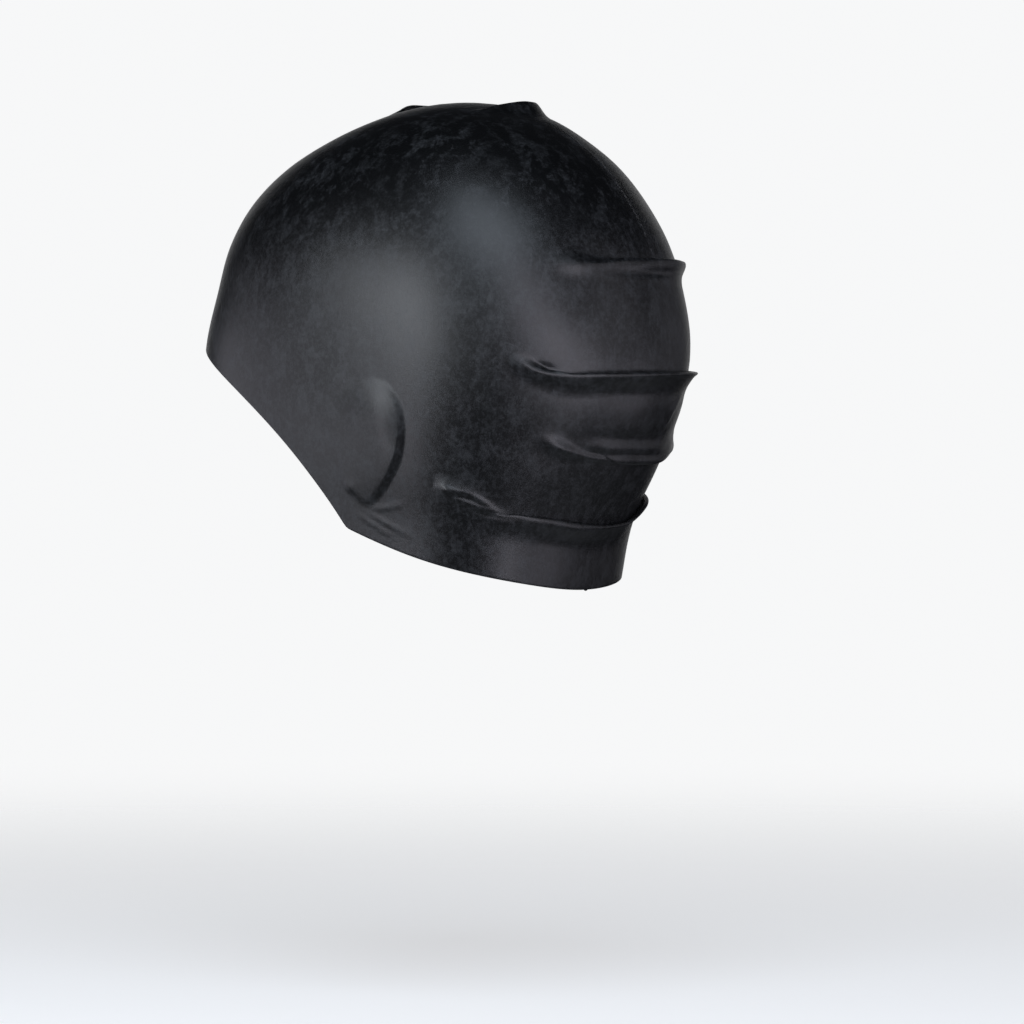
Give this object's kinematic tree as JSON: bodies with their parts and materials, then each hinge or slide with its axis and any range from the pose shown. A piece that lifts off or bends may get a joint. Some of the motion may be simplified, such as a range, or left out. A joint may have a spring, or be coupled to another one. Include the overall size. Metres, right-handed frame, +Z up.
{
  "type": "swim cap",
  "caption": "Moulded rubber swim cap in the shape that a head gives it, with ear bulges, cross folds at the back and a rim low at the nape.",
  "frame": {"origin": "inner face of the crown, where the head bears on the cap", "axes": "+Z up through the crown, -Y to the forehead, +Y to the nape, +X to the wearer's left ear"},
  "size_m": [0.1638, 0.2016, 0.1939],
  "materials": {
    "black_rubber": "matt, faintly powdered"
  },
  "bodies": {
    "root": {"cap_shell": "black_rubber"}
  },
  "joints": []
}
